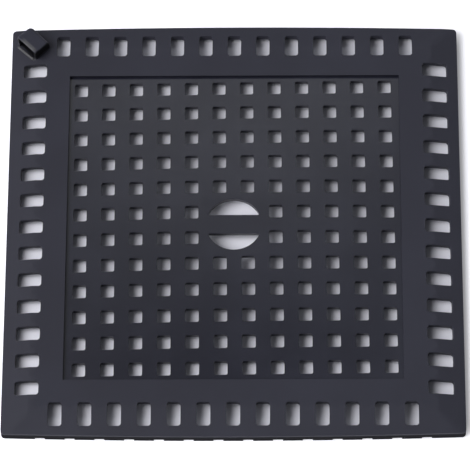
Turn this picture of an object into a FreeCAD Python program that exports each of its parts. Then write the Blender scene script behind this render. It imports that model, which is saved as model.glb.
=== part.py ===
"""Square drain strainer cover, moulded in one piece.

A slotted border falls away to a thin upright rim, and frames a sunken, slightly
crowned panel that is pierced by a grid of square holes. A bar crosses the round
lifting opening in the middle, and a small lifting hood stands on one corner.

Millimetres. +Z is up, and the rim's lower edge stands on Z = 0, centred on the
origin. The hood is on the corner at -X, +Y, and its mouth faces -X, -Y.
"""
import FreeCAD
import Part
import Sketcher

import math
import os

NODE = "strainer"

SIZES = {
    # Outer square: the two sides across Y are bowed, and their ends lie inside the square
    "cover_size": 150.0,
    "bow_inset": 1.7,
    "bow_rise": 1.1,
    "corner_radius": 1.3,
    # Border, from the outer edge inwards
    "border_width": 19.8,
    "border_height": 4.9,
    "rim_width": 9.0,
    "rim_height": 3.0,
    "wall": 1.8,
    # Sunken panel
    "panel_drop": 1.2,
    "panel_crown": 1.5,
    "panel_thickness": 1.6,
    "panel_seat": 1.6,
    # Square holes: rows between the panel's edge and the bare middle, and holes left out across it
    "hole_size": 4.4,
    "hole_margin": 2.2,
    "hole_rows": 5,
    "holes_left_out": 2,
    "grid_turn": 0.6,
    # Lifting opening: a round hole with a bar across it
    "lift_radius": 9.2,
    "lift_bar": 6.7,
    "lift_tip": 0.6,
    # Slots in the border
    "slot_count": 13,
    "slot_length": 8.2,
    "slot_width": 4.3,
    "slot_bevel": 0.6,
    "slot_margin": 3.8,
    "corner_pad": 15.25,
    # Drain notches in the rim's lower edge
    "notch_width": 3.2,
    "notch_height": 0.8,
    # Lifting hood on the corner, standing along the diagonal: its roof falls from the mouth to the back
    "hood_inset": 11.5,
    "hood_length": 8.4,
    "hood_width": 5.6,
    "hood_top": 10.4,
    "hood_fall": 1.6,
    "hood_wall": 1.2,
    "hood_root": 1.4,
    "hood_sink": 1.2,
    "hood_edge": 0.6,
    # How far a cut reaches past the face that it opens
    "cut_spare": 4.0,
}

DERIVED = {
    "half_cover": "Sizes.cover_size / 2",
    "half_bowed": "half_cover - Sizes.bow_inset",
    "bow_radius": "(half_cover^2 + Sizes.bow_rise^2) / (2 * Sizes.bow_rise)",
    "bow_centre": "half_bowed + Sizes.bow_rise - bow_radius",
    # Section of the border and rim
    "half_fold": "half_cover - Sizes.rim_width",
    "rim_slope": "(Sizes.border_height - Sizes.rim_height) / Sizes.rim_width",
    "cut_outer": "half_cover + Sizes.cut_spare",
    "cut_low": "Sizes.rim_height - Sizes.cut_spare * rim_slope",
    "cut_high": "Sizes.border_height + Sizes.cut_spare",
    "half_hollow": "half_cover - Sizes.wall",
    "half_hollow_bowed": "half_bowed - Sizes.wall",
    "border_ceiling": "Sizes.border_height - Sizes.wall",
    "rim_ceiling": "border_ceiling - (half_hollow - half_fold) * rim_slope",
    # Panel
    "half_panel": "half_cover - Sizes.border_width",
    "half_seat": "half_panel + Sizes.panel_seat",
    "panel_top": "Sizes.border_height - Sizes.panel_drop",
    "panel_bottom": "panel_top - Sizes.panel_thickness",
    "crown_radius": "(half_seat^2 + Sizes.panel_crown^2) / (2 * Sizes.panel_crown)",
    # Hole grid: four blocks of rows, each turned a quarter from the last about the bare middle
    "grid_outer": "half_panel - Sizes.hole_margin",
    "grid_inner": "grid_outer - Sizes.hole_size",
    "block_length": "Sizes.hole_rows + Sizes.holes_left_out",
    "hole_pitch": "(grid_outer + grid_inner) / (Sizes.hole_rows + block_length - 1)",
    # Lifting opening
    "half_bar": "Sizes.lift_bar / 2",
    # Slots and notches
    "slot_outer": "half_cover - Sizes.slot_margin",
    "slot_inner": "slot_outer - Sizes.slot_length",
    "slot_row_end": "half_cover - Sizes.corner_pad",
    "slot_row_start": "slot_row_end - Sizes.slot_width",
    "slot_end_outer": "slot_outer - Sizes.slot_bevel",
    "slot_end_inner": "slot_inner + Sizes.slot_bevel",
    "slot_flat_end": "slot_row_end - Sizes.slot_bevel",
    "slot_flat_start": "slot_row_start + Sizes.slot_bevel",
    "slot_pitch": "(slot_row_end + slot_row_start) / (Sizes.slot_count - 1)",
    "notch_count": "Sizes.slot_count + 1",
    "notch_inner": "half_hollow_bowed - Sizes.wall",
    "notch_row_end": "(slot_row_end + slot_row_start + slot_pitch + Sizes.notch_width) / 2",
    "notch_row_start": "notch_row_end - Sizes.notch_width",
    # Lifting hood
    "hood_place": "half_cover - Sizes.hood_inset / sqrt(2)",
    "half_hood": "Sizes.hood_width / 2",
    "hood_foot": "Sizes.border_height - Sizes.hood_root",
    "hood_low": "Sizes.hood_top - Sizes.hood_fall",
    "hood_mouth": "Sizes.hood_length - 2 * Sizes.hood_wall",
    "hood_back": "half_hood - Sizes.hood_wall",
    "hood_floor": "Sizes.border_height - Sizes.hood_sink",
    "hood_ceiling": "Sizes.hood_top - Sizes.hood_wall",
    "hood_ceiling_low": "hood_ceiling - Sizes.hood_fall * (half_hood + hood_back) / Sizes.hood_width",
}

UP = FreeCAD.Vector(0, 0, 1)
SIDES = 4
# Direction across the hood, from its mouth to its back
HOOD_BEARING = 45
# Features that add to the body, where every other one takes away
ADDED = ("Panel", "Hood")
# Sketch references: the origin, the upright axis, and the points of an edge
ORIGIN, UPRIGHT_AXIS = -1, -2
START, END, CENTRE = 1, 2, 3


class Sheets:
    """The sheets of driving and derived sizes. A name may carry a minus sign."""

    def __init__(self, doc):
        self.homes = {}
        self.fill(doc, "Sizes", {name: str(number) for name, number in SIZES.items()})
        self.fill(doc, "Derived", {name: "=" + formula for name, formula in DERIVED.items()})

    def fill(self, doc, title, cells):
        """Writes one sheet, a row for each size, with the size's name as its alias."""
        sheet = doc.addObject("Spreadsheet::Sheet", title)
        for row, (name, content) in enumerate(cells.items(), start=1):
            sheet.set(f"A{row}", name)
            sheet.set(f"B{row}", content)
            sheet.setAlias(f"B{row}", name)
            self.homes[name] = sheet
        doc.recompute()

    def number(self, name):
        """The size's present value, for drawing a shape where it will lie."""
        sign = -1.0 if name.startswith("-") else 1.0
        plain = name.lstrip("-")
        return sign * float(self.homes[plain].get(plain))

    def link(self, name):
        """The expression that ties a feature to the size."""
        sign = "-" if name.startswith("-") else ""
        plain = name.lstrip("-")
        return f"{sign}{self.homes[plain].Name}.{plain}"


class Drawing:
    """A sketch on one of the body's origin planes, drawn and constrained by size names."""

    def __init__(self, body, sheets, title, plane="XY_Plane"):
        self.sheets = sheets
        self.sketch = body.newObject("Sketcher::SketchObject", title)
        self.sketch.AttachmentSupport = (origin_part(body, plane), [""])
        self.sketch.MapMode = "FlatFace"

    def lift(self, name):
        """Moves the sketch off its plane by a size."""
        self.sketch.setExpression("AttachmentOffset.Base.z", self.sheets.link(name))

    def turn(self, name):
        """Turns the sketch in its plane by an angle from the sheet."""
        self.sketch.setExpression("AttachmentOffset.Rotation.Angle", self.sheets.link(name))

    def point(self, across, up):
        """The present place of a pair of sizes."""
        return FreeCAD.Vector(self.sheets.number(across), self.sheets.number(up), 0)

    def line(self, start, end):
        """A straight edge."""
        return self.sketch.addGeometry(Part.LineSegment(start, end))

    def arc(self, centre, radius, start, end):
        """A round edge, run anticlockwise between two bearings."""
        circle = Part.Circle(centre, UP, radius)
        return self.sketch.addGeometry(Part.ArcOfCircle(circle, start, end))

    def bow(self, centre_up, radius, bearing, half_chord):
        """A round edge about a centre on the upright axis, to either side of a bearing."""
        reach = self.sheets.number(radius)
        spread = math.asin(half_chord / reach)
        edge = self.arc(FreeCAD.Vector(0, centre_up, 0), reach, bearing - spread, bearing + spread)
        self.fix("Radius", radius, edge)
        return edge

    def tie(self, kind, *ends):
        """A constraint without a size, such as Coincident, Tangent or Equal."""
        self.sketch.addConstraint(Sketcher.Constraint(kind, *ends))

    def fix(self, kind, name, *ends):
        """A constraint whose value follows a size, such as Radius."""
        index = self.sketch.addConstraint(Sketcher.Constraint(kind, *ends, self.sheets.number(name)))
        self.sketch.setExpression(f"Constraints[{index}]", self.sheets.link(name))

    def fix_across(self, name, edge, end):
        """Holds a point of an edge at a size across the sketch."""
        self.fix("DistanceX", name, ORIGIN, START, edge, end)

    def fix_up(self, name, edge, end):
        """Holds a point of an edge at a size up the sketch."""
        self.fix("DistanceY", name, ORIGIN, START, edge, end)

    def polygon(self, corners):
        """A closed ring of straight edges."""
        points = [self.point(*corner) for corner in corners]
        edges = [self.line(start, end) for start, end in zip(points, points[1:] + points[:1])]
        for edge, following, (across, up) in zip(edges, edges[1:] + edges[:1], corners):
            self.tie("Coincident", edge, END, following, START)
            self.fix_across(across, edge, START)
            self.fix_up(up, edge, START)

    def box(self, left, right, low, high):
        """A rectangle."""
        self.polygon([(left, low), (right, low), (right, high), (left, high)])

    def bowed_box(self, half_across, half_up, bow_radius, bow_centre, radius):
        """A rectangle about the origin with round corners, whose low and high sides bow outwards."""
        left, low = "-" + half_across, "-" + half_up
        up = FreeCAD.Vector(0, self.sheets.number(radius), 0)
        half_chord = self.sheets.number(half_across) - self.sheets.number(radius)
        centre_up = self.sheets.number(bow_centre)
        bottom = self.bow(-centre_up, bow_radius, -math.pi / 2, half_chord)
        right_side = self.line(self.point(half_across, low) + up, self.point(half_across, half_up) - up)
        top = self.bow(centre_up, bow_radius, math.pi / 2, half_chord)
        left_side = self.line(self.point(left, half_up) - up, self.point(left, low) + up)
        for edge, name in ((bottom, "-" + bow_centre), (top, bow_centre)):
            self.tie("PointOnObject", edge, CENTRE, UPRIGHT_AXIS)
            self.fix_up(name, edge, CENTRE)
        for edge, name in ((right_side, half_across), (left_side, left)):
            self.tie("Vertical", edge)
            self.fix_across(name, edge, START)
        ring = [bottom, right_side, top, left_side]
        corners = [(half_across, low), (half_across, half_up), (left, half_up), (left, low)]
        self.round_off(ring, corners, radius)

    def round_off(self, ring, corners, radius):
        """Rounds the corners that a rectangle's bottom, right, top and left edges stop short of."""
        reach = self.sheets.number(radius)
        arcs = []
        for quarter, corner in enumerate(corners):
            start = (quarter - 1) * math.pi / 2
            outward = FreeCAD.Vector(math.cos(start + math.pi / 4), math.sin(start + math.pi / 4), 0)
            centre = self.point(*corner) - outward * reach * math.sqrt(2)
            arc = self.arc(centre, reach, start, start + math.pi / 2)
            self.tie("Tangent", ring[quarter], END, arc, START)
            self.tie("Tangent", arc, END, ring[(quarter + 1) % len(ring)], START)
            arcs.append(arc)
        self.fix("Radius", radius, arcs[0])
        for arc in arcs[1:]:
            self.tie("Equal", arcs[0], arc)

    def crowned_strip(self, half, low, high, rise, radius):
        """A strip that rises in the middle: upright ends, and equal arcs below and above."""
        left = "-" + half
        right_side = self.line(self.point(half, low), self.point(half, high))
        left_side = self.line(self.point(left, high), self.point(left, low))
        drop = self.sheets.number(radius) - self.sheets.number(rise)
        half_chord = self.sheets.number(half)
        below = self.bow(self.sheets.number(low) - drop, radius, math.pi / 2, half_chord)
        above = self.bow(self.sheets.number(high) - drop, radius, math.pi / 2, half_chord)
        for edge, side, start, end in ((right_side, half, low, high), (left_side, left, high, low)):
            self.tie("Vertical", edge)
            self.fix_across(side, edge, START)
            self.fix_up(start, edge, START)
            self.fix_up(end, edge, END)
        self.tie("Coincident", below, START, right_side, START)
        self.tie("Coincident", right_side, END, above, START)
        self.tie("Coincident", above, END, left_side, START)
        self.tie("Coincident", left_side, END, below, END)

    def circle_segment(self, radius, chord, tip):
        """The part of a circle above a chord, with its two tips rounded."""
        large, small, height = (self.sheets.number(name) for name in (radius, tip, chord))
        rise = height + small
        reach = math.sqrt((large - small) ** 2 - rise ** 2)
        bearing = math.atan2(rise, reach)
        base = self.line(FreeCAD.Vector(-reach, height, 0), FreeCAD.Vector(reach, height, 0))
        right_tip = self.arc(FreeCAD.Vector(reach, rise, 0), small, -math.pi / 2, bearing)
        crest = self.arc(FreeCAD.Vector(), large, bearing, math.pi - bearing)
        left_tip = self.arc(FreeCAD.Vector(-reach, rise, 0), small, math.pi - bearing, 1.5 * math.pi)
        ring = [base, right_tip, crest, left_tip]
        for edge, following in zip(ring, ring[1:] + ring[:1]):
            self.tie("Tangent", edge, END, following, START)
        self.tie("Horizontal", base)
        self.fix_up(chord, base, START)
        self.tie("Coincident", crest, CENTRE, ORIGIN, START)
        self.fix("Radius", radius, crest)
        self.fix("Radius", tip, right_tip)
        self.tie("Equal", right_tip, left_tip)


def origin_part(body, role):
    """The body's own origin plane or axis."""
    return next(item for item in body.Origin.OriginFeatures if item.Role == role)


def add_feature(body, kind, title, drawing):
    """A feature of the body made from a sketch."""
    feature = body.newObject("PartDesign::" + kind, title)
    feature.Profile = drawing.sketch
    return feature


def add_loft(body, kind, title, drawings):
    """A loft through a row of sketches."""
    loft = add_feature(body, kind, title, drawings[0])
    loft.Sections = [drawing.sketch for drawing in drawings[1:]]
    return loft


def cut_through(body, title, drawing):
    """A cut right through the body, to both sides of its sketch."""
    cut = add_feature(body, "Pocket", title, drawing)
    cut.Type = "ThroughAll"
    cut.SideType = "Symmetric"
    return cut


def cut_upwards(body, title, drawing, depth):
    """A cut from the underside, as deep as a size."""
    cut = add_feature(body, "Pocket", title, drawing)
    cut.Reversed = True
    cut.setExpression("Length", drawing.sheets.link(depth))
    return cut


def row_step(body, title, drawing, axis, count, pitch):
    """A pattern step along one of the sketch's axes."""
    step = body.Document.addObject("PartDesign::LinearPattern", title)
    step.Direction = (drawing.sketch, [axis])
    step.Mode = "Spacing"
    step.setExpression("Offset", drawing.sheets.link(pitch))
    step.setExpression("Occurrences", drawing.sheets.link(count))
    return step


def side_step(body, title):
    """A pattern step round the four sides of the square."""
    step = body.Document.addObject("PartDesign::PolarPattern", title)
    step.Axis = (origin_part(body, "Z_Axis"), [""])
    step.Angle = 360
    step.Occurrences = SIDES
    return step


def repeat(body, title, feature, steps):
    """Repeats a feature of the body by each pattern step in turn."""
    pattern = body.Document.addObject("PartDesign::MultiTransform", title)
    pattern.Originals = [feature]
    body.addObject(pattern)
    for step in steps:
        body.addObject(step)
    pattern.Transformations = steps
    body.Tip = pattern


def make_border(body, sheets):
    """The bowed outer square, with a rim that slopes down all round and a window for the panel."""
    outline = Drawing(body, sheets, "Outline")
    outline.bowed_box("half_cover", "half_bowed", "bow_radius", "bow_centre", "corner_radius")
    block = add_feature(body, "Pad", "Border", outline)
    block.setExpression("Length", sheets.link("border_height"))

    slope = Drawing(body, sheets, "RimSlope", "XZ_Plane")
    slope.polygon([("half_fold", "border_height"), ("cut_outer", "cut_low"), ("cut_outer", "cut_high")])
    cut = cut_through(body, "RimCut", slope)
    repeat(body, "RimCuts", cut, [side_step(body, "RimSides")])

    window = Drawing(body, sheets, "Window")
    window.box("-half_panel", "half_panel", "-half_panel", "half_panel")
    cut_through(body, "WindowCut", window)


def make_hollow(body, sheets):
    """The open underside, whose ceiling follows the slope of the rim."""
    mouth = Drawing(body, sheets, "HollowMouth")
    mouth.box("-half_hollow", "half_hollow", "-half_hollow_bowed", "half_hollow_bowed")
    cut_upwards(body, "HollowCut", mouth, "rim_ceiling")

    eaves = Drawing(body, sheets, "HollowEaves")
    eaves.lift("rim_ceiling")
    eaves.box("-half_hollow", "half_hollow", "-half_hollow_bowed", "half_hollow_bowed")
    ceiling = Drawing(body, sheets, "HollowCeiling")
    ceiling.lift("border_ceiling")
    ceiling.box("-half_fold", "half_fold", "-half_fold", "half_fold")
    add_loft(body, "SubtractiveLoft", "HollowSlope", [eaves, ceiling]).Ruled = True


def make_panel(body, sheets):
    """The sunken panel: flat along its four edges, and crowned in the middle."""
    ends = []
    for title, place in (("PanelFront", "half_seat"), ("PanelBack", "-half_seat")):
        end = Drawing(body, sheets, title, "XZ_Plane")
        end.lift(place)
        end.box("-half_seat", "half_seat", "panel_bottom", "panel_top")
        ends.append(end)
    middle = Drawing(body, sheets, "PanelMiddle", "XZ_Plane")
    middle.crowned_strip("half_seat", "panel_bottom", "panel_top", "panel_crown", "crown_radius")
    add_loft(body, "AdditiveLoft", "Panel", [ends[0], middle, ends[1]])


def hood_section(body, sheets, title):
    """A drawing across the middle of the hood."""
    section = Drawing(body, sheets, title, "XZ_Plane")
    turn = FreeCAD.Rotation(FreeCAD.Vector(0, 1, 0), HOOD_BEARING)
    section.sketch.AttachmentOffset = FreeCAD.Placement(FreeCAD.Vector(), turn)
    for axis in ("x", "z"):
        section.sketch.setExpression(f"AttachmentOffset.Base.{axis}", sheets.link("-hood_place"))
    return section


def make_hood(body, sheets):
    """The hood: a block rooted in the corner, with a sloping roof and soft upper edges."""
    profile = hood_section(body, sheets, "HoodProfile")
    foot = [("-half_hood", "hood_foot"), ("half_hood", "hood_foot")]
    roof = [("half_hood", "hood_low"), ("-half_hood", "hood_top")]
    profile.polygon(foot + roof)
    hood = add_feature(body, "Pad", "Hood", profile)
    hood.SideType = "Symmetric"
    hood.setExpression("Length", sheets.link("hood_length"))
    body.Document.recompute()

    roof_height = sheets.number("hood_low") - sheets.number("hood_edge")
    edges = enumerate(hood.Shape.Edges, start=1)
    upper = [f"Edge{index}" for index, edge in edges if edge.BoundBox.ZMin > roof_height]
    soft = body.newObject("PartDesign::Fillet", "HoodEdges")
    soft.Base = (hood, upper)
    soft.setExpression("Radius", sheets.link("hood_edge"))


def cut_hood_mouth(body, sheets):
    """The pocket below the hood's roof, open at the mouth and sunk a little into the border."""
    profile = hood_section(body, sheets, "MouthProfile")
    floor = [("-half_hood", "hood_floor"), ("hood_back", "hood_floor")]
    ceiling = [("hood_back", "hood_ceiling_low"), ("-half_hood", "hood_ceiling")]
    profile.polygon(floor + ceiling)
    cut = add_feature(body, "Pocket", "MouthCut", profile)
    cut.SideType = "Symmetric"
    cut.setExpression("Length", sheets.link("hood_mouth"))


def cut_lifting_opening(body, sheets):
    """Two segments of a circle, which leave a bar between them."""
    segment = Drawing(body, sheets, "LiftSegment")
    segment.circle_segment("lift_radius", "half_bar", "lift_tip")
    cut = cut_through(body, "LiftCut", segment)
    mirror = body.newObject("PartDesign::Mirrored", "LiftCuts")
    mirror.Originals = [cut]
    mirror.MirrorPlane = (origin_part(body, "XZ_Plane"), [""])
    body.Tip = mirror


def cut_holes(body, sheets):
    """The grid of square holes, as four blocks round the bare middle."""
    hole = Drawing(body, sheets, "Hole")
    hole.turn("grid_turn")
    hole.box("-grid_outer", "-grid_inner", "-grid_outer", "-grid_inner")
    cut = cut_through(body, "HoleCut", hole)
    row = row_step(body, "HoleRow", hole, "H_Axis", "block_length", "hole_pitch")
    block = row_step(body, "HoleBlock", hole, "V_Axis", "hole_rows", "hole_pitch")
    repeat(body, "Holes", cut, [row, block, side_step(body, "HoleSides")])


def cut_slots(body, sheets):
    """The row of slots along each side of the border, with their corners taken off."""
    slot = Drawing(body, sheets, "Slot")
    outer_end = [("-slot_flat_end", "-slot_outer"), ("-slot_flat_start", "-slot_outer")]
    near_side = [("-slot_row_start", "-slot_end_outer"), ("-slot_row_start", "-slot_end_inner")]
    inner_end = [("-slot_flat_start", "-slot_inner"), ("-slot_flat_end", "-slot_inner")]
    far_side = [("-slot_row_end", "-slot_end_inner"), ("-slot_row_end", "-slot_end_outer")]
    slot.polygon(outer_end + near_side + inner_end + far_side)
    cut = cut_through(body, "SlotCut", slot)
    row = row_step(body, "SlotRow", slot, "H_Axis", "slot_count", "slot_pitch")
    repeat(body, "Slots", cut, [row, side_step(body, "SlotSides")])


def cut_notches(body, sheets):
    """The drain notches in the rim's lower edge, beside and between the slots."""
    notch = Drawing(body, sheets, "Notch")
    notch.box("-notch_row_end", "-notch_row_start", "-cut_outer", "-notch_inner")
    cut = cut_upwards(body, "NotchCut", notch, "notch_height")
    row = row_step(body, "NotchRow", notch, "H_Axis", "notch_count", "slot_pitch")
    repeat(body, "Notches", cut, [row, side_step(body, "NotchSides")])


def check(doc, body):
    """Stops if a feature failed, a cut took nothing away, or the body isn't one sound solid."""
    for item in doc.Objects:
        if {"Invalid", "Error"} & set(item.State):
            raise RuntimeError(f"{item.Name}: {item.State}")
    features = [item for item in body.Group if item.isDerivedFrom("PartDesign::Feature")]
    volumes = {feature.Name: feature.Shape.Volume for feature in features if not feature.Shape.isNull()}
    for feature in features:
        base = feature.BaseFeature
        if base is not None and (feature.Name in ADDED) != (volumes[feature.Name] > volumes[base.Name]):
            raise RuntimeError(f"{feature.Name} changes the volume the wrong way")
    shape = body.Shape
    if shape.isNull() or not shape.isValid() or len(shape.Solids) != 1:
        raise RuntimeError("The strainer isn't one sound solid")


def main():
    """Builds the strainer and writes its file."""
    doc = FreeCAD.newDocument("Strainer")
    sheets = Sheets(doc)
    body = doc.addObject("PartDesign::Body", NODE)
    body.Label = NODE
    body.Placement = FreeCAD.Placement()
    make_border(body, sheets)
    make_hollow(body, sheets)
    make_panel(body, sheets)
    make_hood(body, sheets)
    cut_hood_mouth(body, sheets)
    cut_lifting_opening(body, sheets)
    cut_holes(body, sheets)
    cut_slots(body, sheets)
    cut_notches(body, sheets)
    doc.recompute()
    check(doc, body)
    os.makedirs("parts", exist_ok=True)
    body.Shape.exportStep(f"parts/{NODE}.step")


main()
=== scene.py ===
import math

import bmesh
import bpy
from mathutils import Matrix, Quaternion, Vector


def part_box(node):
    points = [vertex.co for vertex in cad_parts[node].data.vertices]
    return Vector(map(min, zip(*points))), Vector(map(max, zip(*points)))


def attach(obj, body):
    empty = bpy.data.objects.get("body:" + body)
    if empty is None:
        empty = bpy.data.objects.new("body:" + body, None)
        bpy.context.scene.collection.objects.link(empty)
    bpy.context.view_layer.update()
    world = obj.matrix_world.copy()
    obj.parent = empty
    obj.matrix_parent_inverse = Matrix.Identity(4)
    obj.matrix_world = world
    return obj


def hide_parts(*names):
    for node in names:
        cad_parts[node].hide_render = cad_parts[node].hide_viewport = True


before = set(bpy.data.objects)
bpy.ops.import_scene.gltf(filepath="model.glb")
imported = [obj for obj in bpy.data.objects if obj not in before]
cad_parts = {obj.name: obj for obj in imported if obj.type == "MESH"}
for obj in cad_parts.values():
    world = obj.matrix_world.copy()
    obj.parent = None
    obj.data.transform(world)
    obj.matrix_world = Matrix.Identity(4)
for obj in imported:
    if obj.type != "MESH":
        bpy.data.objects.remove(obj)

bl_info = {
    "name": "Drain strainer cover",
    "version": (1, 0, 0),
    "blender": (4, 5, 0),
    "location": "View3D > Sidebar > Strainer",
    "description": "Models a square rubber drain strainer cover and the studio that it lies in",
    "category": "Object",
}

MM = 0.001
QUARTER = math.pi / 2
NODE = "strainer"
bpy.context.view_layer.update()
COVER_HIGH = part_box(NODE)[1]
# Outward directions of the square's sides
SIDES = ((1, 0, 0), (-1, 0, 0), (0, 1, 0), (0, -1, 0))
UP = (0, 0, 1)
# Points closer than this are one point
WELD = 0.01 * MM
# Edges shorter than this are specks left where pieces were united
SPECK = 0.002 * MM
# Edges that turn by more than this are sharp
SHARP = math.radians(50)
# Faces that turn by less than this are shaded as one
SMOOTH = math.radians(40)
# Edges of the flat ring round a hole or slot, six to a side
RING_EDGES = 24
SIDE_EDGES = RING_EDGES // 4
# Edges of the lifting opening's circle, and of the bead's
LIFT_EDGES = 72
BEAD_EDGES = 16
# Faces across a rounded edge
LIP_FACES = 3
TIP_FACES = 4
CORNER_FACES = 5
SHOULDER_FACES = 6
# Width of the floor, and how far the camera sees, in metres
FLOOR_WIDTH = 6.0
SIGHT = 10.0


def length(name, millimetres, description):
    """A property for a length, given in millimetres."""
    return bpy.props.FloatProperty(
        name=name, description=description, default=millimetres * MM, unit="LENGTH", precision=5)


def angle(name, degrees, description):
    """A property for an angle, given in degrees."""
    return bpy.props.FloatProperty(
        name=name, description=description, default=math.radians(degrees), subtype="ANGLE")


def colour(name, red, green, blue, description):
    """A property for a colour, in linear light."""
    return bpy.props.FloatVectorProperty(
        name=name, description=description, default=(red, green, blue), size=3, subtype="COLOR",
        min=0.0, max=1.0)


def factor(name, default, description):
    """A property for a plain number."""
    return bpy.props.FloatProperty(name=name, description=description, default=default)


def slot_sizes(side, margin, long, width, shift):
    """A property for the slots of one side, given in millimetres."""
    return bpy.props.FloatVectorProperty(
        name=f"{side} slots", size=4, unit="LENGTH", precision=5,
        default=(margin * MM, long * MM, width * MM, shift * MM),
        description="Slots of one side: margin to the outer edge, length, width, and shift along the side")


class BorderSizes(bpy.types.PropertyGroup):
    """Sizes of the slotted border and its rim."""
    width: length("Border width", 19.8, "From the outer edge to the sunken panel")
    height: length("Border height", 4.9, "Top of the border above the floor")
    rim_width: length("Rim width", 9.0, "Width of the sloping rim")
    rim_height: length("Rim height", 3.0, "Top of the rim at the outer edge")
    wall: length("Wall", 1.8, "Thickness of the moulded wall")
    bow_inset: length("Bow inset", 1.7, "How far the ends of the bowed sides lie inside the square")
    bow_rise: length("Bow rise", 1.1, "How far the bowed sides swell in the middle")
    corner_radius: length("Corner radius", 1.3, "Rounding of the four outer corners")
    near_slots: slot_sizes("Near", 4.1, 7.9, 4.5, 0.0)
    right_slots: slot_sizes("Right", 3.4, 8.6, 4.9, -0.3)
    far_slots: slot_sizes("Far", 4.3, 8.0, 4.5, 0.0)
    left_slots: slot_sizes("Left", 4.1, 7.9, 4.9, 0.3)
    slot_corner: length("Slot corner", 1.0, "Rounding of a slot's corners")
    slot_pitch: length("Slot pitch", 9.6, "From one slot to the next")
    slot_count: bpy.props.IntProperty(name="Slots", description="Slots on each side", default=13, min=3)
    notch_height: length("Notch height", 0.8, "Height of the drain notches in the rim")
    flare: length("Flare", 0.3, "How far the foot of the bowed sides spreads")
    lip: length("Lip", 0.7, "Rounding of the slots' and the rim's edges")


class PanelSizes(bpy.types.PropertyGroup):
    """Sizes of the sunken panel, its holes and its lifting opening."""
    drop: length("Panel drop", 1.2, "Depth of the panel below the border")
    thickness: length("Panel thickness", 1.6, "Thickness of the panel")
    crown: length("Panel crown", 1.5, "Rise of the panel in the middle")
    seat: length("Panel seat", 1.6, "How far the panel runs on below the border")
    hole_size: length("Hole size", 4.4, "Width of a hole")
    hole_length: length("Hole length", 4.7, "Length of a hole from front to back")
    hole_corner: length("Hole corner", 0.6, "Rounding of a hole's corners")
    hole_margin: length("Hole margin", 2.2, "From the panel's edge to the first holes")
    hole_count: bpy.props.IntProperty(name="Holes", description="Holes across the panel", default=12, min=4)
    grid_turn: angle("Grid turn", 0.6, "How far the grid of holes is turned on the panel")
    lift_radius: length("Lifting radius", 9.2, "Radius of the lifting opening")
    lift_bar: length("Lifting bar", 6.7, "Width of the bar across the lifting opening")
    lift_tip: length("Lifting tip", 0.8, "Rounding of the lifting opening's sharp tips")
    lip: length("Lip", 0.7, "Rounding of the holes' edges")


class HoodSizes(bpy.types.PropertyGroup):
    """Sizes of the lifting hood on the corner."""
    inset: length("Hood inset", 10.9, "From the square's corner to the middle of the hood")
    forward: length("Hood forward", 0.5, "How far the middle of the hood lies in front of the diagonal")
    length: length("Hood length", 9.2, "Length of the hood along the diagonal")
    width: length("Hood width", 6.5, "Width of the hood across the diagonal")
    fall: length("Roof fall", 1.2, "How far the roof falls from the mouth to the back")
    wall: length("Hood wall", 1.0, "Thickness of the hood's walls and roof")
    root: length("Hood root", 1.4, "How deep the hood runs into the border")
    sink: length("Pocket sink", 1.2, "How deep the pocket's floor lies below the border's top")
    edge: length("Hood edge", 0.45, "Rounding of the hood's edges")
    shoulder: length("Shoulder", 1.5, "Rounding of the hood's back and outer end")
    bead: length("Bead", 0.45, "Radius of the bead at the foot of the mouth")
    bearing: angle("Hood bearing", 135.0, "Direction of the hood's corner")


class RubberLook(bpy.types.PropertyGroup):
    """Colours and finish of the rubber."""
    border: colour("Border", 0.025, 0.025, 0.0355, "Main colour of the border")
    panel: colour("Panel", 0.0075, 0.0075, 0.0145, "Main colour of the panel")
    # Paler colour: bloom in random patches and mottling, and also painted light on the right side and on
    # the hood
    bloom_and_painted_light: colour("Bloom", 0.055, 0.058, 0.085, "Colour where the rubber has bloomed")
    # Painted highlight on the front edge of the hood's roof and on the bead at the foot of its mouth
    painted_highlight: colour("Worn", 0.09, 0.09, 0.095, "Colour of the hood's worn edges")
    # Painted shade in the hood's mouth and pocket, and at the foot of the rim
    painted_shade: colour("Grime", 0.002, 0.002, 0.003, "Colour of the hood's dark mouth and the rim's foot")
    # Paler towards the near left corner
    near_corner_paling: factor("Corner bloom", 0.06, "Share of bloom on the near left corner")
    # Painted light: the cover is made paler towards the right, where the lamps light it less
    right_painted_light: factor("Right bloom", 0.12, "Share of bloom on the right, from none on the left")
    patch_bloom: factor("Patch bloom", 0.10, "Share of bloom in the large patches")
    mottle_bloom: factor("Mottle bloom", 0.05, "Share of bloom in the fine mottling")
    # Painted light: the hood is made paler, where its roof tilts away from the light
    hood_painted_light: factor("Hood bloom", 0.18, "Share of bloom on the hood")
    # Painted shade at the foot of the rim, where it meets the floor
    foot_painted_shade: factor("Foot grime", 0.85, "Share of grime on the rim's foot")
    border_roughness: factor("Border roughness", 0.58, "Roughness of the border where it is smoothest")
    panel_roughness: factor("Panel roughness", 0.30, "Roughness of the panel where it is smoothest")
    mottle_roughness: factor("Mottle roughness", 0.08, "Roughness that the fine mottling adds")
    hood_roughness: factor("Hood roughness", 0.2, "Roughness that the hood adds")
    foot_roughness: factor("Foot roughness", 0.4, "Roughness that the rim's foot adds")
    specular: factor("Specular", 0.45, "Strength of the surface reflection")
    grain: length("Grain", 0.35, "Size of the moulded grain")
    grain_depth: length("Grain depth", 0.03, "Depth of the moulded grain")
    grain_strength: factor("Grain strength", 0.35, "How strongly the moulded grain shows")
    mottle: length("Mottle", 2.2, "Size of the fine mottling")
    patch: length("Patch", 22.0, "Size of the bloomed patches")


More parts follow.
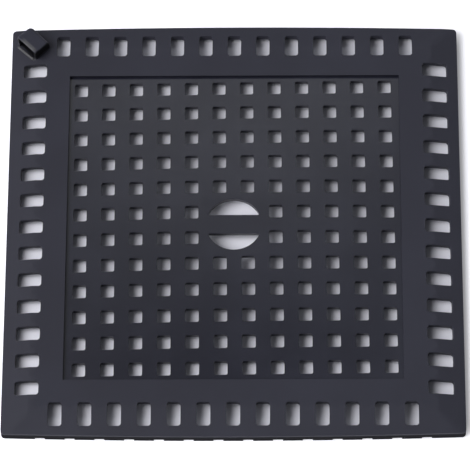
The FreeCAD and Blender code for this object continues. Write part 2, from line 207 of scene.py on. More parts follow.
class StudioLook(bpy.types.PropertyGroup):
    """Camera, lights and floor."""
    elevation: angle("Elevation", 65.14, "Height of the camera above the horizon")
    bearing: angle("Bearing", 1.9, "How far the camera is turned round the cover")
    roll: angle("Roll", -1.91, "How far the camera is tilted about its own axis")
    distance: length("Distance", 1208.0, "From the camera to the point that it looks at")
    aim_across: length("Aim across", 0.4, "X of the point that the camera looks at")
    aim_along: length("Aim along", -3.4, "Y of the point that the camera looks at")
    aim_height: length("Aim height", 4.0, "Z of the point that the camera looks at")
    lens: bpy.props.FloatProperty(
        name="Lens", description="Focal length on a 36 mm sensor", default=280.9, unit="CAMERA")
    left_bearing: angle("Left bearing", 197.0, "Direction of the two lights on the left")
    left_height: angle("Left height", 48.0, "Height of the two lights on the left")
    key_power: factor("Key light", 22.0, "Power of the broad light on the left, in watts")
    key_distance: length("Key distance", 1400.0, "From the broad light to the cover")
    key_size: length("Key size", 1400.0, "Width of the broad light")
    shine_power: factor("Shine light", 1.3, "Power of the light on the left that the edges catch, in watts")
    shine_distance: length("Shine distance", 900.0, "From the light that the edges catch to the cover")
    shine_size: length("Shine size", 500.0, "Width of the light that the edges catch")
    back_bearing: angle("Back bearing", 94.0, "Direction of the light behind")
    back_height: angle("Back height", 57.0, "Height of the light behind")
    back_power: factor("Back light", 1.5, "Power of the wide light behind, in watts")
    back_distance: length("Back distance", 1300.0, "From the light behind to the cover")
    back_width: length("Back width", 750.0, "Width of the light behind")
    back_depth: length("Back depth", 300.0, "Depth of the light behind")
    sky: factor("Sky", 0.14, "Strength of the even light from all round")
    sky_tint: colour("Sky tint", 0.94, 0.96, 1.0, "Colour of the even light and the light behind")
    floor_shade: colour("Floor", 0.85, 0.85, 0.93, "Colour of the floor")
    floor_glow: factor("Floor glow", 0.45, "Whiteness that the camera sees on the floor round the cover")
    shadow: factor("Shadow", 0.6, "Share of that whiteness that is missing close to the right side")
    shadow_width: length("Shadow width", 2.8, "How far that shadow reaches from the right side")


def begin():
    """Leaves edit mode with nothing selected."""
    if bpy.context.mode != "OBJECT":
        bpy.ops.object.mode_set(mode="OBJECT")
    bpy.ops.object.select_all(action="DESELECT")


def choose(piece):
    """Leaves edit mode with one piece selected and active."""
    begin()
    piece.select_set(True)
    bpy.context.view_layer.objects.active = piece


def edit(piece):
    """Opens one piece in edit mode, with all of it selected."""
    choose(piece)
    bpy.ops.object.mode_set(mode="EDIT")
    bpy.ops.mesh.select_all(action="SELECT")


def pick(kind, test):
    """Selects the verts, edges or faces that pass a test."""
    bpy.ops.mesh.select_mode(type={"verts": "VERT", "edges": "EDGE", "faces": "FACE"}[kind])
    bpy.ops.mesh.select_all(action="DESELECT")
    mesh = bmesh.from_edit_mesh(bpy.context.edit_object.data)
    picked = [item for item in getattr(mesh, kind) if test(item)]
    for item in picked:
        item.select_set(True)
    mesh.select_flush_mode()
    bmesh.update_edit_mesh(bpy.context.edit_object.data)
    if not picked:
        raise RuntimeError(f"{bpy.context.edit_object.name}: no {kind} to select")


def middle(item):
    """Middle of an edge or a face."""
    return sum((vert.co for vert in item.verts), Vector()) / len(item.verts)


def reach(point):
    """Distance from the middle of the square, measured to the side that the point is nearest."""
    return max(abs(point.x), abs(point.y))


def name_piece(name):
    """Names the object that was just made, and returns it."""
    piece = bpy.context.object
    piece.name = name
    piece.data.name = name
    return piece


def join(pieces):
    """Joins pieces into the first one and welds them."""
    begin()
    for piece in pieces:
        piece.select_set(True)
    bpy.context.view_layer.objects.active = pieces[0]
    bpy.ops.object.join()
    edit(pieces[0])
    bpy.ops.mesh.remove_doubles(threshold=WELD)
    begin()
    return pieces[0]


def finish_with(piece, kind, **settings):
    """Adds a modifier to a piece and applies it."""
    choose(piece)
    modifier = piece.modifiers.new(kind.title(), kind)
    for name, value in settings.items():
        setattr(modifier, name, value)
    bpy.ops.object.modifier_apply(modifier=modifier.name)


def array(piece, count, step):
    """Repeats a piece in a row and welds the copies."""
    finish_with(
        piece, "ARRAY", count=count, use_relative_offset=False, use_constant_offset=True,
        constant_offset_displace=step, use_merge_vertices=True, merge_threshold=WELD)


def boolean(piece, other, operation):
    """Cuts another piece out of this one, or unites the two, and removes the other."""
    finish_with(piece, "BOOLEAN", object=other, operation=operation, solver="EXACT")
    bpy.data.objects.remove(other)


def move_by(piece, name, direction, distance, weight):
    """Moves each point of a piece along an axis, by the share of a distance that its weight gives."""
    group = piece.vertex_groups.new(name=name)
    for vert in piece.data.vertices:
        share = weight(vert.co)
        if share > 0.0:
            group.add([vert.index], min(share, 1.0), "REPLACE")
    finish_with(
        piece, "DISPLACE", direction=direction, strength=distance, mid_level=0.0, vertex_group=name)
    piece.vertex_groups.remove(piece.vertex_groups[name])


def face_up(piece):
    """Turns the faces of an open sheet to the same side, upwards."""
    edit(piece)
    bpy.ops.mesh.normals_make_consistent(inside=False)
    mesh = bmesh.from_edit_mesh(piece.data)
    if sum(face.normal.z * face.calc_area() for face in mesh.faces) < 0:
        bpy.ops.mesh.flip_normals()
    begin()


def rounded_ring(name, half_across, half_along, corner, place):
    """An open ring with round corners: a circle whose quarters are moved apart."""
    begin()
    bpy.ops.mesh.primitive_circle_add(vertices=RING_EDGES, radius=corner, fill_type="NOTHING")
    ring = name_piece(name)
    edit(ring)
    across = Vector((half_across - corner, 0, 0))
    along = Vector((0, half_along - corner, 0))
    for shift in (across, -across, along, -along):
        pick("verts", lambda vert: vert.co.dot(shift) > WELD * shift.length)
        bpy.ops.transform.translate(value=shift)
    bpy.ops.mesh.select_all(action="SELECT")
    bpy.ops.transform.translate(value=place)
    begin()
    return ring


def cell_edge(name, across, along, place):
    """The open edge of one cell, with as many points as a ring."""
    begin()
    bpy.ops.mesh.primitive_grid_add(x_subdivisions=SIDE_EDGES, y_subdivisions=SIDE_EDGES, size=2.0)
    cell = name_piece(name)
    edit(cell)
    pick("verts", lambda vert: reach(vert.co) < 1 - WELD)
    bpy.ops.mesh.delete(type="VERT")
    bpy.ops.mesh.select_all(action="SELECT")
    bpy.ops.transform.resize(value=(across / 2, along / 2, 1), center_override=(0, 0, 0))
    bpy.ops.transform.translate(value=place)
    begin()
    return cell


def pierced_cell(cell, ring):
    """A flat cell round a hole."""
    cell = join([cell, ring])
    edit(cell)
    bpy.ops.mesh.bridge_edge_loops()
    begin()
    return cell


def cut_square(half, **settings):
    """Cuts the piece that is being edited along the four sides of a square."""
    for side in SIDES:
        bpy.ops.mesh.select_all(action="SELECT")
        bpy.ops.mesh.bisect(plane_co=Vector(side) * half, plane_no=side, **settings)


def turn(piece, by):
    """Turns a piece about the middle of the square."""
    choose(piece)
    piece.rotation_euler.z = by
    bpy.ops.object.transform_apply(location=False, rotation=True, scale=False)


def turned_copy(piece, by):
    """A copy of a piece, turned about the middle of the square."""
    choose(piece)
    bpy.ops.object.duplicate()
    copy = bpy.context.object
    turn(copy, by)
    return copy


class STRAINER_OT_border(bpy.types.Operator):
    """Models the slotted border with its sloping rim and drain notches"""
    bl_idname = "strainer.border"
    bl_label = "Border"

    def execute(self, context):
        sizes = context.scene.strainer_border
        half = COVER_HIGH.x
        row = sizes.slot_pitch * sizes.slot_count / 2
        border = self.sheet(sizes, half, row)
        self.bow_and_slope(border, sizes, half)
        self.drop_rim(border, sizes, half, row)
        face_up(border)
        finish_with(
            border, "SOLIDIFY", thickness=sizes.wall, offset=-1.0, use_even_offset=True,
            use_quality_normals=True)
        self.round_corners(border, sizes, half)
        self.round_lips(border, sizes)
        self.spread_foot(border, sizes, half)
        return {"FINISHED"}

    def sheet(self, sizes, half, row):
        """The flat sheet: four rows of slotted cells, four corners and the inner ring."""
        depth = half - row
        level = sizes.height
        sides = (sizes.near_slots, sizes.right_slots, sizes.far_slots, sizes.left_slots)
        parts = [self.slot_row(sizes, half, row, slots) for slots in sides]
        for quarter, part in enumerate(parts):
            turn(part, quarter * QUARTER)
        corner = self.corner(row, depth, level, sizes.slot_pitch / SIDE_EDGES)
        parts += [corner] + [turned_copy(corner, quarter * QUARTER) for quarter in (1, 2, 3)]
        border = join(parts)
        edit(border)
        pick("edges", lambda edge: edge.is_boundary and abs(reach(middle(edge)) - row) < WELD)
        bpy.ops.mesh.extrude_edges_move()
        shrink = (half - sizes.width) / row
        bpy.ops.transform.resize(value=(shrink, shrink, 1), center_override=(0, 0, level))
        cut_square(half - sizes.rim_width)
        begin()
        return border

    def slot_row(self, sizes, half, row, slots):
        """A row of slotted cells along the near side."""
        margin, long, width, shift = slots
        depth = half - row
        first = -row + sizes.slot_pitch / 2
        cell = cell_edge("border", sizes.slot_pitch, depth, (first, -row - depth / 2, sizes.height))
        ring = rounded_ring(
            "slot", width / 2, long / 2, sizes.slot_corner,
            (first + shift, margin + long / 2 - half, sizes.height))
        cells = pierced_cell(cell, ring)
        array(cells, sizes.slot_count, (sizes.slot_pitch, 0, 0))
        return cells

    def corner(self, row, depth, level, notch_reach):
        """A plain corner of the sheet, folded along its diagonal.

        Its outer points are moved to the ends of the last notches and away from the rounded corner.
        """
        begin()
        centre = row + depth / 2
        bpy.ops.mesh.primitive_grid_add(
            x_subdivisions=SIDE_EDGES, y_subdivisions=SIDE_EDGES, size=depth,
            location=(centre, centre, level))
        bpy.ops.object.transform_apply(location=True, rotation=False, scale=False)
        corner = name_piece("corner")
        edit(corner)
        bpy.ops.mesh.bisect(plane_co=(0, 0, 0), plane_no=(1, -1, 0))
        step = depth / SIDE_EDGES
        for axis, other in ((0, 1), (1, 0)):
            for start, end in ((step, notch_reach), (4 * step, 3.5 * step), (5 * step, 4 * step)):
                pick("verts", lambda vert: abs(vert.co[axis] - row - start) < WELD
                     and vert.co[other] > row + depth - WELD)
                shift = Vector()
                shift[axis] = end - start
                bpy.ops.transform.translate(value=shift)
        begin()
        return corner

    def bow_and_slope(self, border, sizes, half):
        """Draws two sides in to their bowed outline, then lets the rim fall."""
        slots_end = half - min(sizes.near_slots[0], sizes.far_slots[0])
        deepest = sizes.bow_inset

        def drawn_in(point, side):
            past_slots = max(side * point.y - slots_end, 0) / (half - slots_end)
            inset = sizes.bow_inset - sizes.bow_rise * (1 - (point.x / half) ** 2)
            return past_slots * inset / deepest

        for side in (1, -1):
            move_by(border, "bow", "Y", -side * deepest, lambda point: drawn_in(point, side))
        fold = half - sizes.rim_width
        fall = sizes.height - sizes.rim_height
        move_by(border, "slope", "Z", -fall, lambda point: (reach(point) - fold) / sizes.rim_width)

    def drop_rim(self, border, sizes, half, row):
        """Drops the rim's wall to the floor, in two steps that leave the notches open."""
        pitch = sizes.slot_pitch
        notch_reach = pitch / SIDE_EDGES
        outer = half - sizes.bow_inset - WELD

        def outside(edge):
            return edge.is_boundary and all(reach(vert.co) > outer - sizes.bow_rise for vert in edge.verts)

        def between_notches(edge):
            point = middle(edge)
            along = point.x if abs(point.y) > abs(point.x) else point.y
            past_end = abs(along) > row + notch_reach
            from_notch = abs((along + row) / pitch - round((along + row) / pitch)) * pitch
            return past_end or from_notch > notch_reach

        edit(border)
        pick("edges", outside)
        bpy.ops.mesh.extrude_edges_move()
        bpy.ops.transform.resize(value=(1, 1, 0), center_override=(0, 0, sizes.notch_height))
        low = sizes.notch_height + WELD
        pick("edges", lambda edge: edge.is_boundary and middle(edge).z < low and between_notches(edge))
        bpy.ops.mesh.extrude_edges_move()
        bpy.ops.transform.resize(value=(1, 1, 0), center_override=(0, 0, 0))
        begin()

    def round_corners(self, border, sizes, half):
        """Rounds the four upright edges at the outer corners."""
        outer = Vector((half, half - sizes.bow_inset, 0))

        def at_corner(vert):
            return abs(abs(vert.co.x) - outer.x) < WELD and abs(abs(vert.co.y) - outer.y) < WELD

        edit(border)
        pick("edges", lambda edge: all(at_corner(vert) for vert in edge.verts))
        bpy.ops.mesh.bevel(offset=sizes.corner_radius, segments=CORNER_FACES, affect="EDGES")
        begin()

    def round_lips(self, border, sizes):
        """Rounds the sharp edges, but for the foot of the rim, which is cut square."""

        def is_lip(edge):
            return edge.calc_face_angle() > SHARP and middle(edge).z > sizes.notch_height + WELD

        edit(border)
        pick("edges", is_lip)
        bpy.ops.transform.edge_bevelweight(value=1.0)
        finish_with(border, "BEVEL", width=sizes.lip, segments=LIP_FACES, limit_method="WEIGHT")

    def spread_foot(self, border, sizes, half):
        """Lets the walls of the two bowed sides spread towards the floor."""
        wall = half - sizes.bow_inset - sizes.wall

        def spread(point, side):
            return 1 - point.z / sizes.rim_height if side * point.y > wall - WELD else 0.0

        for side in (1, -1):
            move_by(border, "flare", "Y", side * sizes.flare, lambda point: spread(point, side))


class STRAINER_OT_panel(bpy.types.Operator):
    """Models the sunken panel with its grid of holes and lifting opening"""
    bl_idname = "strainer.panel"
    bl_label = "Panel"

    def execute(self, context):
        sizes = context.scene.strainer_panel
        border = context.scene.strainer_border
        half_panel = COVER_HIGH.x - border.width
        level = border.height - sizes.drop
        panel = self.sheet(sizes, half_panel, level)
        face_up(panel)
        finish_with(panel, "SOLIDIFY", thickness=sizes.thickness, offset=-1.0)
        boolean(panel, self.lift_cutter(sizes, level), "DIFFERENCE")
        half_seat = half_panel + sizes.seat

        def rise(point):
            return (1 - (point.x / half_seat) ** 2) * (1 - (point.y / half_seat) ** 2)

        move_by(panel, "crown", "Z", sizes.crown, rise)
        finish_with(
            panel, "BEVEL", width=sizes.lip, segments=LIP_FACES, limit_method="ANGLE", angle_limit=SHARP)
        return {"FINISHED"}

    def sheet(self, sizes, half_panel, level):
        """The flat sheet: a turned grid of pierced cells with a bare middle, trimmed square."""
        last = half_panel - sizes.hole_margin - sizes.hole_size / 2
        pitch = 2 * last / (sizes.hole_count - 1)
        first = (-last, -last, level)
        cell = cell_edge("panel", pitch, pitch, first)
        ring = rounded_ring("hole", sizes.hole_size / 2, sizes.hole_length / 2, sizes.hole_corner, first)
        panel = pierced_cell(cell, ring)
        array(panel, sizes.hole_count, (pitch, 0, 0))
        array(panel, sizes.hole_count, (0, pitch, 0))
        edit(panel)
        pick("faces", lambda face: reach(middle(face)) < pitch)
        bpy.ops.mesh.delete(type="FACE")
        pick("edges", lambda edge: edge.is_boundary and reach(middle(edge)) < pitch + WELD)
        bpy.ops.mesh.edge_face_add()
        edge_reach = last + pitch / 2
        pick("edges", lambda edge: edge.is_boundary and reach(middle(edge)) > edge_reach - WELD)
        bpy.ops.mesh.extrude_edges_move()
        half_seat = half_panel + sizes.seat
        grow = (half_seat + sizes.hole_margin) / edge_reach
        bpy.ops.transform.resize(value=(grow, grow, 1), center_override=(0, 0, level))
        begin()
        panel.rotation_euler.z = sizes.grid_turn
        edit(panel)
        cut_square(half_seat, clear_outer=True)
        begin()
        return panel

    def lift_cutter(self, sizes, level):
        """Two segments of a cylinder, with rounded tips."""
        begin()
        bpy.ops.mesh.primitive_cylinder_add(
            vertices=LIFT_EDGES, radius=sizes.lift_radius, depth=4 * sizes.thickness,
            location=(0, 0, level))
        bpy.ops.object.transform_apply(location=True, rotation=False, scale=False)
        cutter = name_piece("lift")
        edit(cutter)
        half_bar = sizes.lift_bar / 2
        bpy.ops.mesh.bisect(
            plane_co=(0, half_bar, 0), plane_no=(0, 1, 0), clear_inner=True, use_fill=True)
        pick("edges", lambda edge: abs(middle(edge).z - level) < WELD and middle(edge).y < half_bar + WELD)
        bpy.ops.mesh.bevel(offset=sizes.lift_tip, segments=TIP_FACES, affect="EDGES")
        begin()
        finish_with(cutter, "MIRROR", use_axis=(False, True, False))
        return cutter


def hood_centre(sizes):
    """Distance of the hood from the middle of the square."""
    return COVER_HIGH.x * math.sqrt(2) - sizes.inset


class STRAINER_OT_hood(bpy.types.Operator):
    """Models the small lifting hood that stands on the corner, its bead and the cutter of its pocket"""
    bl_idname = "strainer.hood"
    bl_label = "Hood"

    def execute(self, context):
        sizes = context.scene.strainer_hood
        border = context.scene.strainer_border
        foot = border.height - sizes.root
        top = COVER_HIGH.z
        back = sizes.forward - sizes.width / 2
        front = sizes.forward + sizes.width / 2
        hood = self.block("hood", sizes, sizes.length, (back, front), (foot, top))
        edit(hood)
        outer_end = hood_centre(sizes) + sizes.length / 2

        def at_shoulder(vert):
            return vert.co.x > outer_end - WELD and vert.co.y < back + WELD and vert.co.z > foot + WELD

        pick("edges", lambda edge: any(at_shoulder(vert) for vert in edge.verts))
        bpy.ops.mesh.bevel(offset=sizes.shoulder, segments=SHOULDER_FACES, affect="EDGES")
        finish_with(
            hood, "BEVEL", width=sizes.edge, segments=LIP_FACES, limit_method="ANGLE", angle_limit=SHARP)
        pocket = self.block(
            "pocket", sizes, sizes.length - 2 * sizes.wall, (back + sizes.wall, front + sizes.edge),
            (border.height - sizes.sink, top - sizes.wall))
        for piece in (hood, pocket, self.bead(sizes, border, front)):
            turn(piece, sizes.bearing)
        return {"FINISHED"}

    def block(self, name, sizes, long, sides, heights):
        """A block along X below the hood's roof, which falls towards -Y."""
        back, front = sides
        low, high = heights
        begin()
        bpy.ops.mesh.primitive_cube_add(size=1.0)
        block = name_piece(name)
        edit(block)
        bpy.ops.transform.resize(value=(long, front - back, high - low), center_override=(0, 0, 0))
        bpy.ops.transform.translate(value=(hood_centre(sizes), (front + back) / 2, (high + low) / 2))
        pick("verts", lambda vert: vert.co.z > high - WELD and vert.co.y < back + WELD)
        bpy.ops.transform.translate(value=(0, 0, -sizes.fall * (front - back) / sizes.width))
        begin()
        return block

    def bead(self, sizes, border, front):
        """A thin bead at the foot of the mouth, lying on the slope of the rim."""
        centre = hood_centre(sizes)
        slope = (border.height - border.rim_height) / border.rim_width
        past_fold = (centre + front) / math.sqrt(2) - (COVER_HIGH.x - border.rim_width)
        begin()
        bpy.ops.mesh.primitive_cylinder_add(
            vertices=BEAD_EDGES, radius=sizes.bead, depth=sizes.length - 2 * sizes.wall,
            location=(centre, front + sizes.edge, border.height - slope * past_fold),
            rotation=(0, QUARTER + math.atan(slope / math.sqrt(2)), 0))
        bpy.ops.object.transform_apply(location=True, rotation=True, scale=False)
        return name_piece("bead")


class STRAINER_OT_cover(bpy.types.Operator):
    """Unites the border, the panel and the hood into the one moulding, and gives it its rubber"""
    bl_idname = "strainer.cover"
    bl_label = "Cover"
    pieces = (("panel", "UNION"), ("hood", "UNION"), ("pocket", "DIFFERENCE"), ("bead", "UNION"))

    def execute(self, context):
        scene = context.scene
        cover = bpy.data.objects["border"]
        for name, operation in self.pieces:
            boolean(cover, bpy.data.objects[name], operation)
        edit(cover)
        bpy.ops.mesh.dissolve_degenerate(threshold=SPECK)
        choose(cover)
        cover.name = "strainer_cover"
        cover.data.name = "strainer_cover"
        bpy.ops.object.shade_smooth_by_angle(angle=SMOOTH)
        finish_with(cover, "WEIGHTED_NORMAL", keep_sharp=True)
        cover.data.materials.clear()
        cover.data.materials.append(
            rubber(scene.strainer_rubber, scene.strainer_hood, scene.strainer_border))
        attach(cover, "root")
        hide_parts(NODE)
        return {"FINISHED"}


class Value:
    """A number that changes over a surface. Sums with it add Math nodes."""

    def __init__(self, shader, socket):
        self.shader = shader
        self.socket = socket

    def sum(self, operation, first, second):
        return self.shader.value("ShaderNodeMath", {"operation": operation}, [first, second])

    def __add__(self, other):
        return self.sum("ADD", self, other)

    def __mul__(self, other):
        return self.sum("MULTIPLY", self, other)

    def __sub__(self, other):
        return self.sum("SUBTRACT", self, other)

    def __rsub__(self, other):
        return self.sum("SUBTRACT", other, self)

    __radd__ = __add__
    __rmul__ = __mul__


class Shader:
    """A material's nodes, added one at a time."""

    def __init__(self, name):
        self.material = bpy.data.materials.new(name)
        self.material.use_nodes = True
        self.tree = self.material.node_tree
        self.tree.nodes.clear()

    def node(self, kind, settings=None, inputs=()):
        """Adds a node, with its settings first and then its sockets, by name or in order."""
        node = self.tree.nodes.new(kind)
        for name, setting in (settings or {}).items():
            setattr(node, name, setting)
        pairs = inputs.items() if isinstance(inputs, dict) else enumerate(inputs)
        for key, given in pairs:
            socket = node.inputs[key]
            if isinstance(given, Value):
                self.tree.links.new(given.socket, socket)
            elif isinstance(given, bpy.types.NodeSocket):
                self.tree.links.new(given, socket)
            else:
                socket.default_value = given
        return node

    def value(self, kind, settings=None, inputs=(), output=0):
        """Adds a node and returns one of its outputs as a value."""
        return Value(self, self.node(kind, settings, inputs).outputs[output])

    def step(self, value, low, high):
        """A smooth step from 0 at low to 1 at high."""
        return self.value(
            "ShaderNodeMapRange", {"interpolation_type": "SMOOTHSTEP"},
            {"Value": value, "From Min": low, "From Max": high})

    def reach(self, place):
        """Distance of a place from the middle of the square, measured to the nearest side."""
        axes = self.node("ShaderNodeSeparateXYZ", None, [place]).outputs
        across, along = (self.size_of(axes[i]) for i in (0, 1))
        return self.larger(across, along)

    def along(self, place, direction):
        """How far a place lies in a direction."""
        return self.value("ShaderNodeVectorMath", {"operation": "DOT_PRODUCT"}, [place, direction], "Value")

    def size_of(self, value):
        """A value without its sign."""
        return self.value("ShaderNodeMath", {"operation": "ABSOLUTE"}, [value])

    def larger(self, first, second):
        """The larger of two values."""
        return self.value("ShaderNodeMath", {"operation": "MAXIMUM"}, [first, second])

    def near(self, value, inner, outer):
        """A smooth step from 1 within inner of zero to 0 at outer."""
        return 1.0 - self.step(self.size_of(value), inner, outer)

    def distance(self, place, point):
        """Distance of a place from a point."""
        return self.value("ShaderNodeVectorMath", {"operation": "DISTANCE"}, [place, point], "Value")

    def noise(self, place, size, detail=3.0):
        """Noise whose patches are about as large as size."""
        return self.value(
            "ShaderNodeTexNoise", None, {"Vector": place, "Scale": 1.0 / size, "Detail": detail})

    def blend(self, share, first, second):
        """One colour turning into another."""
        mix = self.node("ShaderNodeMix", {"data_type": "RGBA"}, {"Factor": share})
        for socket, given in ((mix.inputs[6], first), (mix.inputs[7], second)):
            if isinstance(given, bpy.types.NodeSocket):
                self.tree.links.new(given, socket)
            else:
                socket.default_value = (*given, 1.0)
        return mix.outputs[2]

    def surface(self, socket):
        """Makes a shader the material's surface."""
        self.node("ShaderNodeOutputMaterial", None, {"Surface": socket})


class HoodPaintedLight:
    """Masks for painted light and shade on the hood, by how far a place lies outward and forward of its
    middle, and above the floor.
    """

    def __init__(self, shader, place, hood, border):
        cosine, sine = math.cos(hood.bearing), math.sin(hood.bearing)
        self.shader = shader
        self.hood = hood
        self.level = border.height
        self.top = COVER_HIGH.z
        self.half_long = hood.length / 2
        self.half_wide = hood.width / 2
        self.outward = shader.along(place, (cosine, sine, 0)) - hood_centre(hood)
        self.forward = shader.along(place, (-sine, cosine, 0)) - hood.forward
        self.height = shader.along(place, UP)

    def hooded(self):
        """The whole hood, above the border."""
        start, full = 0.5 * MM, 1.5 * MM
        return self.shader.step(self.height, self.level + start, self.level + full)

    def ridge_highlight(self):
        """Painted highlight along the front edge of the roof, towards its inner end."""
        inset, line, faded = 0.4 * MM, 0.3 * MM, 1.1 * MM
        below, near_top = 0.9 * MM, 0.4 * MM
        off_middle, rubbed, end = 0.2 * self.half_long, 0.4 * self.half_long, 0.84 * self.half_long
        across = self.shader.near(self.forward - self.half_wide + inset, line, faded)
        upright = self.shader.step(self.height, self.top - below, self.top - near_top)
        return across * upright * self.shader.near(self.outward + off_middle, rubbed, end)

    def bead(self):
        """Painted highlight along the bead at the foot of the mouth."""
        line, faded = 0.3 * MM, 0.6 * MM
        rubbed = 0.7 * self.half_long
        across = self.shader.near(self.forward - self.half_wide - self.hood.edge, line, faded)
        upright = 1.0 - self.shader.step(self.height, self.level, self.level + MM)
        return across * upright * self.shader.near(self.outward, rubbed, self.half_long)

    def outside(self):
        """Painted shade on the front face and the inner end, between the border and the roof."""
        line, faded = 0.3 * MM, 0.7 * MM
        bare, full = 1.6 * MM, 0.8 * MM
        past_end = 1.1 * self.half_long
        middle, dark, light = (self.level + self.top) / 2, 1.4 * MM, 2.2 * MM
        end = self.shader.near(self.outward + self.half_long, line, faded)
        end = end * self.shader.near(self.forward, self.half_wide, self.half_wide + self.hood.edge)
        face = self.shader.step(self.forward, self.half_wide - bare, self.half_wide - full)
        face = face * self.shader.near(self.outward, self.half_long, past_end)
        return self.shader.larger(face, end) * self.shader.near(self.height - middle, dark, light)

    def pocket(self):
        """Painted shade inside the pocket, up to its roof."""
        wall, side_skin, end_skin = self.hood.wall, 0.2 * MM, 0.3 * MM
        dark, light = self.level + 1.2 * MM, self.level + 2 * MM
        across = self.shader.near(self.forward, self.half_wide - wall, self.half_wide - side_skin)
        along = self.shader.near(self.outward, self.half_long - wall, self.half_long - end_skin)
        return across * along * (1.0 - self.shader.step(self.height, dark, light))


def bloom_and_painted_light_shares(shader, place, look, mottle):
    """Share of the paler colour over the cover: towards the near left corner, painted light towards the
    right, and bloom in patches and mottled.
    """
    half = COVER_HIGH.x
    bloomed, bare = 8 * MM, 34 * MM
    patch_low, patch_high, patch_detail = 0.35, 0.75, 4.0
    # Paler towards the near left corner
    near_corner = 1.0 - shader.step(shader.distance(place, (-half, -half, 0)), bloomed, bare)
    # Painted light: paler towards the right side, where the lamps light it less
    right = shader.step(shader.along(place, (1, 0, 0)), -half, half)
    patches = shader.step(shader.noise(place, look.patch, patch_detail), patch_low, patch_high)
    shares = near_corner * look.near_corner_paling + right * look.right_painted_light
    return shares + patches * look.patch_bloom + mottle * look.mottle_bloom


def rim_foot(shader, place):
    """The foot of the rim's outer wall, where shade is painted and roughness added."""
    inner, outer = 3 * MM, 2.4 * MM
    low, high = 2.1 * MM, 2.9 * MM
    at_wall = shader.step(shader.reach(place), COVER_HIGH.x - inner, COVER_HIGH.x - outer)
    return at_wall * (1.0 - shader.step(shader.along(place, UP), low, high))


def rubber(look, hood, border):
    """Matte dark rubber with a fine moulded grain and a faint bloom, painted light on the right and on the
    hood, painted highlights on the hood's edges, and painted shade in the hood's mouth and at the rim's
    foot.
    """
    half_panel = COVER_HIGH.x - border.width
    seam = 0.1 * MM
    shader = Shader("dark_rubber")
    place = shader.node("ShaderNodeTexCoord").outputs["Object"]
    mottle = shader.noise(place, look.mottle)
    on_border = shader.step(shader.reach(place), half_panel - seam, half_panel + seam)
    hood_paint = HoodPaintedLight(shader, place, hood, border)
    hooded = hood_paint.hooded()
    foot = rim_foot(shader, place)
    tone = shader.blend(on_border, look.panel, look.border)
    tone = shader.blend(bloom_and_painted_light_shares(shader, place, look, mottle), tone, look.bloom_and_painted_light)
    # Painted light: the hood made paler where its roof tilts away from the light
    tone = shader.blend(hooded * look.hood_painted_light, tone, look.bloom_and_painted_light)
    # Painted highlights on the hood's ridge and bead
    tone = shader.blend(hood_paint.ridge_highlight() + hood_paint.bead(), tone, look.painted_highlight)
    # Painted shade in the hood's mouth: its front face, inner end and pocket
    mouth = shader.larger(hood_paint.outside(), hood_paint.pocket())
    # Painted shade: the hood's mouth and the rim's foot turn to the dark colour
    tone = shader.blend(shader.larger(mouth, foot * look.foot_painted_shade), tone, look.painted_shade)
    roughness = look.panel_roughness + on_border * (look.border_roughness - look.panel_roughness)
    roughness = roughness + mottle * look.mottle_roughness
    roughness = roughness + hooded * look.hood_roughness + foot * look.foot_roughness
    skin = shader.node("ShaderNodeBump", None, {
        "Strength": look.grain_strength,
        "Distance": look.grain_depth,
        "Height": shader.noise(place, look.grain),
    })
    finish = shader.node("ShaderNodeBsdfPrincipled", None, {
        "Base Color": tone,
        "Roughness": roughness,
        "Specular IOR Level": look.specular,
        "Normal": skin.outputs["Normal"],
    })
    shader.surface(finish.outputs["BSDF"])
    return shader.material


def right_shadow(shader, place, look):
    """The strip of floor close to the cover's right side, fading towards the corners."""
    half = COVER_HIGH.x
    start, full = half - 3 * MM, half - 1 * MM
    fading, ended = half - 7 * MM, half - 1 * MM
    right = shader.along(place, (1, 0, 0))
    from_middle = shader.size_of(shader.along(place, (0, 1, 0)))
    strip = shader.step(right, start, full) * (1.0 - shader.step(right, half, half + look.shadow_width))
    return strip * (1.0 - shader.step(from_middle, fading, ended))


def floor_paint(look):
    """White floor that keeps shadows, and looks white to the camera round the cover."""
    start, full = COVER_HIGH.x - 2.7 * MM, COVER_HIGH.x - 0.7 * MM
    shader = Shader("floor")
    rays = shader.node("ShaderNodeLightPath").outputs
    seen = Value(shader, rays["Is Camera Ray"]) + Value(shader, rays["Is Glossy Ray"])
    seen = seen + Value(shader, rays["Is Transmission Ray"])
    place = shader.node("ShaderNodeTexCoord").outputs["Object"]
    beside = shader.step(shader.reach(place), start, full)
    seen = seen * beside * (1.0 - look.shadow * right_shadow(shader, place, look))
    matte = shader.node("ShaderNodeBsdfDiffuse", None, {"Color": (*look.floor_shade, 1.0)})
    glow = shader.node("ShaderNodeEmission", None, {"Strength": seen * look.floor_glow})
    both = shader.node("ShaderNodeAddShader", None, [matte.outputs[0], glow.outputs[0]])
    shader.surface(both.outputs[0])
    return shader.material


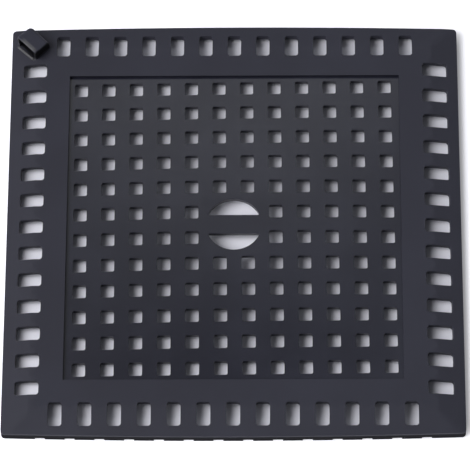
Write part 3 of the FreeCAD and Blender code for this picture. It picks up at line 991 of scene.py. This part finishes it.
class STRAINER_OT_stage(bpy.types.Operator):
    """Lays the floor, and sets the lights and the camera"""
    bl_idname = "strainer.stage"
    bl_label = "Stage"

    def execute(self, context):
        look = context.scene.strainer_studio
        self.floor(look)
        self.lights(context, look)
        self.camera(context, look)
        context.scene.view_settings.view_transform = "Standard"
        return {"FINISHED"}

    def floor(self, look):
        """The floor that the cover lies on."""
        begin()
        bpy.ops.mesh.primitive_plane_add(size=FLOOR_WIDTH)
        floor = name_piece("floor")
        floor.data.materials.append(floor_paint(look))

    def lights(self, context, look):
        """Two lights on the left, one broad and one that the edges catch, one behind, and even light."""
        left = (look.left_bearing, look.left_height)
        behind = (look.back_bearing, look.back_height)
        key = self.lamp("key_light", left, look.key_distance, look.key_size, look.key_power)
        key.visible_glossy = False
        self.lamp("shine_light", left, look.shine_distance, look.shine_size, look.shine_power)
        back = self.lamp("back_light", behind, look.back_distance, look.back_width, look.back_power)
        back.data.shape = "ELLIPSE"
        back.data.size_y = look.back_depth
        back.data.color = look.sky_tint
        world = bpy.data.worlds.new("even_light")
        world.use_nodes = True
        background = world.node_tree.nodes["Background"]
        background.inputs["Color"].default_value = (*look.sky_tint, 1.0)
        background.inputs["Strength"].default_value = look.sky
        context.scene.world = world

    def lamp(self, name, direction, distance, size, power):
        """A round area light that faces the cover from a direction, given as a bearing and a height."""
        bearing, height = direction
        level = math.cos(height)
        away = Vector((math.cos(bearing) * level, math.sin(bearing) * level, math.sin(height)))
        bpy.ops.object.light_add(type="AREA", location=away * distance)
        lamp = bpy.context.object
        lamp.name = name
        lamp.data.shape = "DISK"
        lamp.data.size = size
        lamp.data.energy = power
        lamp.rotation_euler = away.to_track_quat("Z", "Y").to_euler()
        return lamp

    def camera(self, context, look):
        """The camera, a long lens high over the near side."""
        aim = Vector((look.aim_across, look.aim_along, look.aim_height))
        back = Vector((
            math.sin(look.bearing) * math.cos(look.elevation),
            -math.cos(look.bearing) * math.cos(look.elevation),
            math.sin(look.elevation)))
        bpy.ops.object.camera_add(location=aim + back * look.distance)
        camera = context.object
        camera.name = "camera"
        facing = back.to_track_quat("Z", "Y") @ Quaternion(UP, look.roll)
        camera.rotation_euler = facing.to_euler()
        camera.data.lens = look.lens
        camera.data.clip_end = SIGHT
        context.scene.camera = camera


class STRAINER_PT_sidebar(bpy.types.Panel):
    """Lists the steps and their sizes"""
    bl_idname = "STRAINER_PT_sidebar"
    bl_label = "Drain strainer"
    bl_space_type = "VIEW_3D"
    bl_region_type = "UI"
    bl_category = "Strainer"

    def draw(self, context):
        for operator, group in STEPS:
            box = self.layout.box()
            box.operator(operator.bl_idname)
            sizes = getattr(context.scene, group)
            for name in sizes.bl_rna.properties.keys():
                if name not in ("rna_type", "name"):
                    box.prop(sizes, name)


GROUPS = {
    "strainer_border": BorderSizes,
    "strainer_panel": PanelSizes,
    "strainer_hood": HoodSizes,
    "strainer_rubber": RubberLook,
    "strainer_studio": StudioLook,
}
STEPS = (
    (STRAINER_OT_border, "strainer_border"),
    (STRAINER_OT_panel, "strainer_panel"),
    (STRAINER_OT_hood, "strainer_hood"),
    (STRAINER_OT_cover, "strainer_rubber"),
    (STRAINER_OT_stage, "strainer_studio"),
)


def register():
    for name, group in GROUPS.items():
        bpy.utils.register_class(group)
        setattr(bpy.types.Scene, name, bpy.props.PointerProperty(type=group))
    for operator, _ in STEPS:
        bpy.utils.register_class(operator)
    bpy.utils.register_class(STRAINER_PT_sidebar)


def unregister():
    bpy.utils.unregister_class(STRAINER_PT_sidebar)
    for operator, _ in reversed(STEPS):
        bpy.utils.unregister_class(operator)
    for name, group in reversed(GROUPS.items()):
        delattr(bpy.types.Scene, name)
        bpy.utils.unregister_class(group)


def main():
    """Builds the cover and its studio."""
    register()
    bpy.ops.strainer.border()
    bpy.ops.strainer.panel()
    bpy.ops.strainer.hood()
    bpy.ops.strainer.cover()
    bpy.ops.strainer.stage()


if __name__ == "__main__":
    main()
